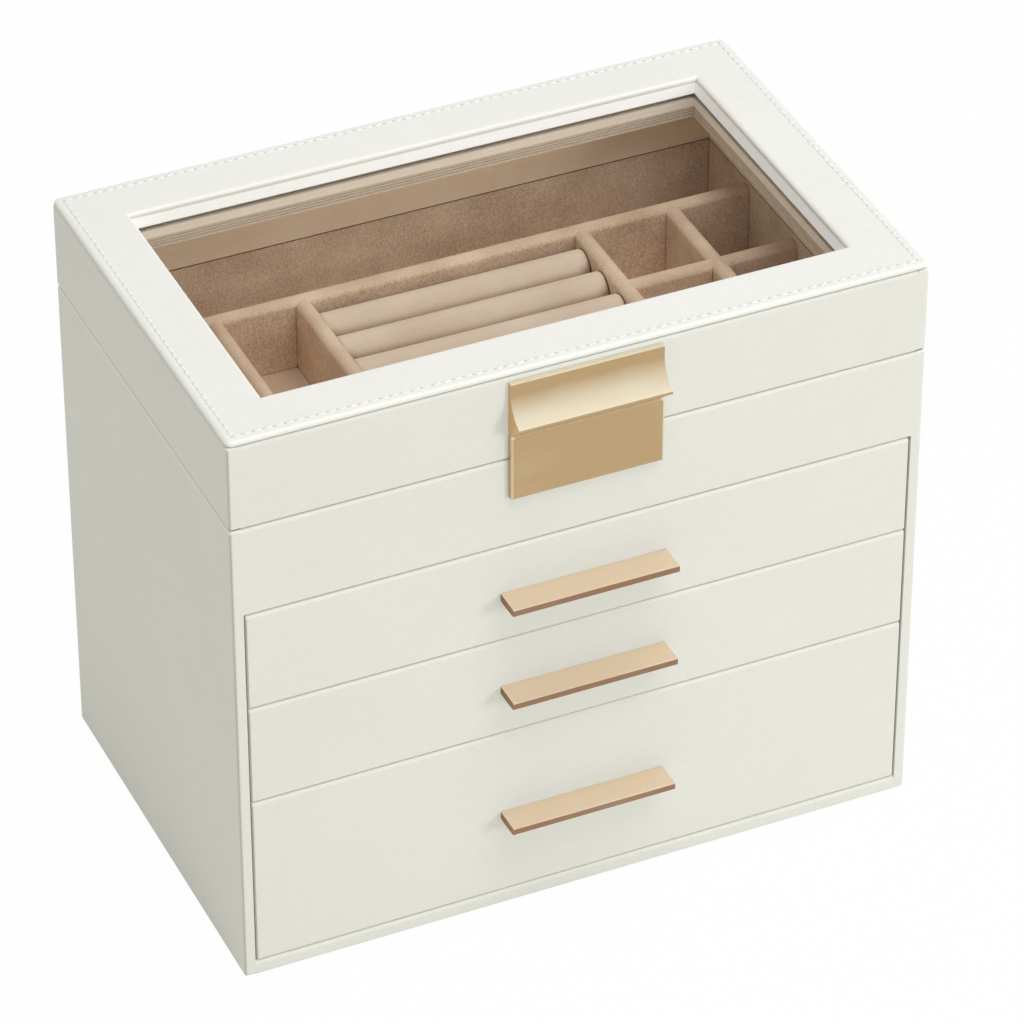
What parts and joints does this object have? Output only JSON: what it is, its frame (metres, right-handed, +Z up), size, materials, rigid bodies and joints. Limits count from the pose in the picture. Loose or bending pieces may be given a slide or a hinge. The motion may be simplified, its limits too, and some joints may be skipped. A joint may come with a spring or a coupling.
{
  "type": "jewellery box with drawers",
  "caption": "Leather-wrapped jewellery box with a hinged glass-top lid over a divided velvet tray and stacked sliding drawers with gold ledge handles.",
  "frame": {"origin": "on the table, under the middle of the case's footprint, on the underside of the felt", "axes": "+X to the right of someone facing the drawers, +Y to the back where the hinges are, +Z up"},
  "size_m": [0.27, 0.1836, 0.24],
  "materials": {
    "leather": "ivory imitation leather with a fine grain, satin",
    "velvet": "beige-tan velvet with a short nap",
    "roll_velvet": "light beige velvet over foam",
    "glass": "clear polished flat glass",
    "gold": "satin champagne-gold plating",
    "bead": "ribbed grey-beige extrusion",
    "steel": "plain zinc-plated",
    "hinge_metal": "satin champagne-gold plating",
    "felt": "short felt",
    "board": "fibreboard faced with beige paper"
  },
  "bodies": {
    "case": {"base_felt": "felt", "case_back": "leather", "case_base": "leather", "case_front_band": "leather", "case_left_side": "leather", "case_right_side": "leather", "hinge_case_screws": "steel", "hinge_left_case_leaf": "hinge_metal", "hinge_pins": "hinge_metal", "hinge_right_case_leaf": "hinge_metal", "lower_shelf": "board", "ring_rolls": "roll_velvet", "tray_column_dividers": "velvet", "tray_cross_dividers": "velvet", "tray_floor": "velvet", "tray_linings": "velvet", "tray_long_divider": "velvet", "tray_shelf": "board", "upper_shelf": "board"},
    "lid": {"hinge_left_lid_leaf": "hinge_metal", "hinge_lid_screws": "steel", "hinge_right_lid_leaf": "hinge_metal", "lid_back_wall": "leather", "lid_frame_board": "leather", "lid_front_wall": "leather", "lid_glass": "glass", "lid_glass_retainer": "velvet", "lid_glazing_bead": "bead", "lid_left_wall": "leather", "lid_linings": "velvet", "lid_pull_grip": "gold", "lid_pull_plate": "gold", "lid_pull_screws": "steel", "lid_right_wall": "leather", "lid_top_panel": "leather"},
    "drawer_1": {"drawer_1_back": "velvet", "drawer_1_cross_dividers": "velvet", "drawer_1_floor": "board", "drawer_1_front": "leather", "drawer_1_handle": "gold", "drawer_1_handle_screws": "steel", "drawer_1_long_divider": "velvet", "drawer_1_pad": "velvet", "drawer_1_sides": "velvet"},
    "drawer_2": {"drawer_2_back": "velvet", "drawer_2_dividers": "velvet", "drawer_2_floor": "board", "drawer_2_front": "leather", "drawer_2_handle": "gold", "drawer_2_handle_screws": "steel", "drawer_2_pad": "velvet", "drawer_2_sides": "velvet"},
    "drawer_3": {"drawer_3_back": "velvet", "drawer_3_floor": "board", "drawer_3_front": "leather", "drawer_3_handle": "gold", "drawer_3_handle_screws": "steel", "drawer_3_pad": "velvet", "drawer_3_sides": "velvet"}
  },
  "joints": [
    {"name": "lid_hinge", "type": "hinge", "parent": "case", "child": "lid", "pos_m": [0, 0.0864, 0.20255], "axis": [-1, 0, 0], "range_deg": [0, 100]},
    {"name": "drawer_1_slide", "type": "slide", "parent": "case", "child": "drawer_1", "axis": [0, -1, 0], "range_m": [0, 0.12]},
    {"name": "drawer_2_slide", "type": "slide", "parent": "case", "child": "drawer_2", "axis": [0, -1, 0], "range_m": [0, 0.12]},
    {"name": "drawer_3_slide", "type": "slide", "parent": "case", "child": "drawer_3", "axis": [0, -1, 0], "range_m": [0, 0.12]}
  ]
}
